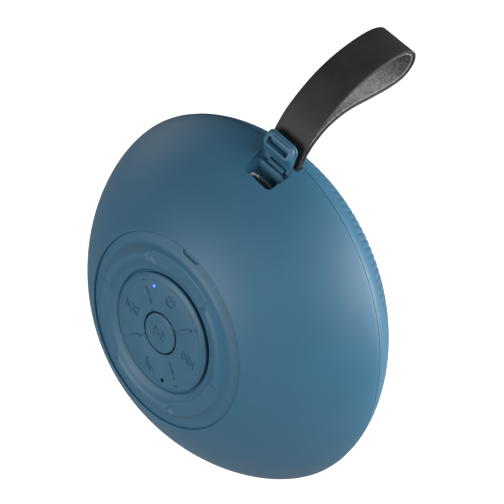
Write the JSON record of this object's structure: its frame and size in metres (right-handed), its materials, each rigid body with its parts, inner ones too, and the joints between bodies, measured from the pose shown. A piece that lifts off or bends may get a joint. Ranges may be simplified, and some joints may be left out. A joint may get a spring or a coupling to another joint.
{
  "type": "shower speaker",
  "caption": "Round portable speaker with a keypad on its back, a slotted front, a charging port under a rubber plug, and a wrist strap.",
  "frame": {"origin": "on the speaker's axis, in the plane of the three flats on the rear ring that a wall base twists on to", "axes": "+Y out of the rear control panel along the speaker's axis; +Z towards the strap; the slotted front faces -Y"},
  "size_m": [0.1078, 0.0625, 0.1375],
  "materials": {
    "blue_casing": "fine matte grain",
    "blue_silicone": "satin silicone",
    "black_plastic": "matte",
    "black_leather": "fine grain, felt lined",
    "steel": "plain",
    "copper": "enamelled copper winding",
    "ferrite": "dark sintered",
    "paper_cone": "pressed paper",
    "circuit_board": "solder mask",
    "cell_foil": "soft foil pouch",
    "foam": "open foam",
    "acoustic_cloth": "fine mesh",
    "blue_lamp": "clear lens over a blue LED",
    "red_wire": "insulated wire"
  },
  "bodies": {
    "casing": {"amplifier_chip": "black_plastic", "baffle": "black_plastic", "battery_board": "circuit_board", "battery_cell": "cell_foil", "battery_foam": "foam", "battery_lead": "red_wire", "bayonet_ring": "blue_casing", "case_screw_1": "steel", "case_screw_2": "steel", "case_screw_3": "steel", "case_screw_4": "steel", "driver_basket": "steel", "driver_gasket": "foam", "driver_screw_1": "steel", "driver_screw_2": "steel", "driver_screw_3": "steel", "driver_screw_4": "steel", "front_grille": "blue_casing", "grille_cloth": "acoustic_cloth", "insulating_sheet": "foam", "key_board": "circuit_board", "keypad_frame": "blue_silicone", "magnet_ring": "ferrite", "magnet_yoke": "steel", "main_board": "circuit_board", "microphone": "steel", "plug_anchor": "blue_silicone", "radio_chip": "black_plastic", "rear_shell": "blue_casing", "seal_ring": "black_plastic", "speaker_lead": "red_wire", "spider": "acoustic_cloth", "status_light": "blue_lamp", "strap_pin": "steel", "strap_tail": "black_leather", "surround": "black_plastic", "switch_call": "steel", "switch_next": "steel", "switch_play": "steel", "switch_power": "steel", "switch_previous": "steel", "top_plate": "steel", "usb_shell": "steel", "usb_tongue": "black_plastic"},
    "power_key": {"key_power": "blue_silicone", "plunger_power": "black_plastic"},
    "previous_key": {"key_previous": "blue_silicone", "plunger_previous": "black_plastic"},
    "next_key": {"key_next": "blue_silicone", "plunger_next": "black_plastic"},
    "call_key": {"key_call": "blue_silicone", "plunger_call": "black_plastic"},
    "play_key": {"key_play": "blue_silicone", "plunger_play": "black_plastic"},
    "driver_cone": {"cone": "paper_cone", "dust_cap": "paper_cone", "voice_coil": "copper"},
    "port_plug": {"port_plug": "blue_silicone"},
    "strap_loop": {"strap_loop": "black_leather"}
  },
  "joints": [
    {"name": "power_press", "type": "slide", "parent": "casing", "child": "power_key", "axis": [0, -1, 0], "range_m": [0, 0.0004], "stiffness_N_per_m": 3000},
    {"name": "previous_press", "type": "slide", "parent": "casing", "child": "previous_key", "axis": [0, -1, 0], "range_m": [0, 0.0004], "stiffness_N_per_m": 3000},
    {"name": "next_press", "type": "slide", "parent": "casing", "child": "next_key", "axis": [0, -1, 0], "range_m": [0, 0.0004], "stiffness_N_per_m": 3000},
    {"name": "call_press", "type": "slide", "parent": "casing", "child": "call_key", "axis": [0, -1, 0], "range_m": [0, 0.0004], "stiffness_N_per_m": 3000},
    {"name": "play_press", "type": "slide", "parent": "casing", "child": "play_key", "axis": [0, -1, 0], "range_m": [0, 0.0004], "stiffness_N_per_m": 3000},
    {"name": "cone_stroke", "type": "slide", "parent": "casing", "child": "driver_cone", "axis": [0, -1, 0], "range_m": [-0.0015, 0.0015], "stiffness_N_per_m": 1500},
    {"name": "plug_hinge", "type": "hinge", "parent": "casing", "child": "port_plug", "pos_m": [0, -0.025, 0.0529], "axis": [-1, 0, 0], "range_deg": [0, 121], "stiffness_Nm_per_rad": 0.002},
    {"name": "strap_swing", "type": "hinge", "parent": "casing", "child": "strap_loop", "pos_m": [0, -0.02735, 0.0546], "axis": [1, 0, 0], "range_deg": [-5, 75], "stiffness_Nm_per_rad": 0.01}
  ]
}
